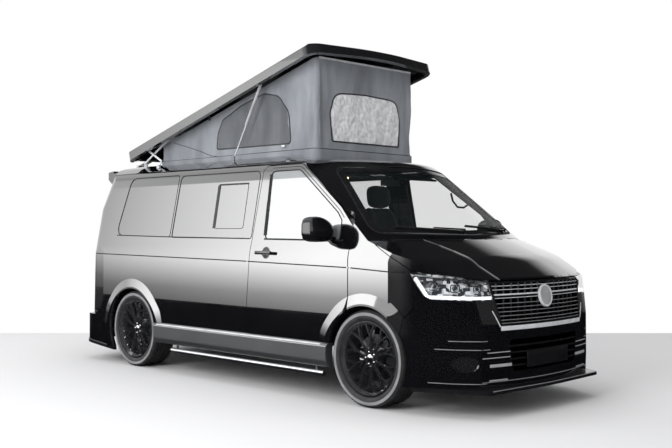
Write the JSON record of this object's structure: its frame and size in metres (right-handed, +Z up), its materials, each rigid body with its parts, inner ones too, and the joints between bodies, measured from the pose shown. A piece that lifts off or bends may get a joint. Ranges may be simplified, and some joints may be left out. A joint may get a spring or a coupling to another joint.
{
  "type": "camper van",
  "caption": "Compact lowered camper van with a front-raised pop-top roof on a canvas tent, hinged doors, bonnet and tailgate, steered front wheels.",
  "frame": {"origin": "on the ground under the middle of the whole van's box", "axes": "+X forward along the van, +Y to its left, +Z up"},
  "size_m": [4.9373, 2.3356, 2.7607],
  "materials": {
    "body_paint": "gloss black",
    "dark_glass": "tinted",
    "clear_glass": "clear",
    "red_lens": "moulded",
    "tyre_rubber": "moulded",
    "wheel_paint": "gloss black",
    "canvas_grey": "woven",
    "seat_leather": "grained",
    "satin_metal": "satin",
    "black_steel": "satin black",
    "pipe_steel": "brushed",
    "engine_iron": "cast",
    "trim_plastic": "grained",
    "gloss_trim": "gloss",
    "floor_paint": "satin",
    "cabinet_board": "laminate"
  },
  "bodies": {
    "body": {"body_side_left": "body_paint", "body_side_right": "body_paint", "bulkhead": "floor_paint", "bumper_lips": "body_paint", "canvas": "canvas_grey", "dashboard": "trim_plastic", "engine_block": "engine_iron", "exhaust": "pipe_steel", "floor_pan": "floor_paint", "front_bumper": "body_paint", "front_carrier": "black_steel", "front_seats": "seat_leather", "front_wings": "body_paint", "grille": "gloss_trim", "headlamp_lenses": "clear_glass", "headlamps": "trim_plastic", "kitchen_unit": "cabinet_board", "pillar_frame": "body_paint", "rear_bench": "seat_leather", "rear_bumper": "body_paint", "roof_brackets": "satin_metal", "roof_panel": "body_paint", "roof_rail": "satin_metal", "side_bars": "satin_metal", "side_skirts": "body_paint", "side_windows": "dark_glass", "sliding_door": "body_paint", "suspension": "black_steel", "tail_lamps": "red_lens", "wheel_liners": "trim_plastic", "windscreen": "clear_glass"},
    "door_right": {"door_right": "body_paint", "door_glass_right": "dark_glass", "mirror_right": "body_paint"},
    "door_left": {"door_left": "body_paint", "door_glass_left": "dark_glass", "mirror_left": "body_paint"},
    "bonnet": {"bonnet": "body_paint"},
    "tailgate": {"tailgate": "body_paint", "tailgate_window": "dark_glass", "spoiler": "body_paint"},
    "knuckle_right": {"knuckle_right": "black_steel"},
    "knuckle_left": {"knuckle_left": "black_steel"},
    "wheel_front_right": {"tyre_front_right": "tyre_rubber", "rim_front_right": "wheel_paint"},
    "wheel_front_left": {"tyre_front_left": "tyre_rubber", "rim_front_left": "wheel_paint"},
    "wheel_rear_right": {"tyre_rear_right": "tyre_rubber", "rim_rear_right": "wheel_paint"},
    "wheel_rear_left": {"tyre_rear_left": "tyre_rubber", "rim_rear_left": "wheel_paint"},
    "roof": {"roof_shell": "body_paint"},
    "roof_arms_straight": {"roof_arms_straight": "satin_metal"},
    "roof_arms_bent": {"roof_arms_bent": "satin_metal"},
    "strut_tubes": {"strut_tubes": "black_steel"},
    "strut_rods": {"strut_rods": "satin_metal"},
    "steering_wheel": {"steering_wheel": "trim_plastic"}
  },
  "joints": [
    {"name": "roof_hinge", "type": "hinge", "parent": "body", "child": "roof", "pos_m": [-2.14, 0, 1.925], "axis": [0, 1, 0], "range_deg": [0, 15.34], "deforming": ["canvas"]},
    {"name": "roof_arm_straight_turn", "type": "hinge", "parent": "body", "child": "roof_arms_straight", "pos_m": [-1.72, 0, 1.925], "axis": [0, 1, 0], "range_deg": [0, 29.85]},
    {"name": "roof_arm_bent_turn", "type": "hinge", "parent": "body", "child": "roof_arms_bent", "pos_m": [-1.446, 0, 1.888], "axis": [0, -1, 0], "range_deg": [0, 34.2]},
    {"name": "strut_tube_turn", "type": "hinge", "parent": "roof", "child": "strut_tubes", "pos_m": [0.08, 0, 2.51947], "axis": [0, 1, 0], "range_deg": [0, 43.04]},
    {"name": "strut_rod_slide", "type": "slide", "parent": "strut_tubes", "child": "strut_rods", "axis": [0.5128, 0, 0.8585], "range_m": [0, 0.27051]},
    {"name": "door_right_hinge", "type": "hinge", "parent": "body", "child": "door_right", "pos_m": [1.325, -0.908, 0.9], "axis": [0, 0, 1], "range_deg": [0, 65]},
    {"name": "door_left_hinge", "type": "hinge", "parent": "body", "child": "door_left", "pos_m": [1.325, 0.908, 0.9], "axis": [0, 0, -1], "range_deg": [0, 65]},
    {"name": "bonnet_hinge", "type": "hinge", "parent": "body", "child": "bonnet", "pos_m": [1.578, 0, 1.19], "axis": [0, -1, 0], "range_deg": [0, 50]},
    {"name": "tailgate_hinge", "type": "hinge", "parent": "body", "child": "tailgate", "pos_m": [-2.186, 0, 1.885], "axis": [0, 1, 0], "range_deg": [0, 85]},
    {"name": "steer_right", "type": "hinge", "parent": "body", "child": "knuckle_right", "pos_m": [1.532, -0.735, 0.352], "axis": [0, 0, 1], "range_deg": [-32, 32]},
    {"name": "steer_left", "type": "hinge", "parent": "body", "child": "knuckle_left", "pos_m": [1.532, 0.735, 0.352], "axis": [0, 0, 1], "range_deg": [-32, 32]},
    {"name": "steering_wheel_turn", "type": "hinge", "parent": "body", "child": "steering_wheel", "pos_m": [1.04, -0.38, 1.1], "axis": [-0.9135, 0, 0.4067], "range_deg": [-448, 448]},
    {"name": "wheel_front_right_spin", "type": "hinge", "parent": "knuckle_right", "child": "wheel_front_right", "pos_m": [1.532, -0.814, 0.352], "axis": [0, 1, 0], "continuous": true},
    {"name": "wheel_front_left_spin", "type": "hinge", "parent": "knuckle_left", "child": "wheel_front_left", "pos_m": [1.532, 0.814, 0.352], "axis": [0, 1, 0], "continuous": true},
    {"name": "wheel_rear_right_spin", "type": "hinge", "parent": "body", "child": "wheel_rear_right", "pos_m": [-1.468, -0.814, 0.352], "axis": [0, 1, 0], "continuous": true},
    {"name": "wheel_rear_left_spin", "type": "hinge", "parent": "body", "child": "wheel_rear_left", "pos_m": [-1.468, 0.814, 0.352], "axis": [0, 1, 0], "continuous": true}
  ],
  "couplings": [
    {"joint": "roof_arm_straight_turn", "follows": "roof_hinge", "ratio": 1.946},
    {"joint": "roof_arm_bent_turn", "follows": "roof_hinge", "ratio": 2.2293},
    {"joint": "strut_tube_turn", "follows": "roof_hinge", "ratio": 2.8057},
    {"joint": "strut_rod_slide", "follows": "roof_hinge", "m_per_rad": 1.0104},
    {"joint": "steer_left", "follows": "steer_right", "ratio": 1},
    {"joint": "steering_wheel_turn", "follows": "steer_right", "ratio": 14}
  ]
}
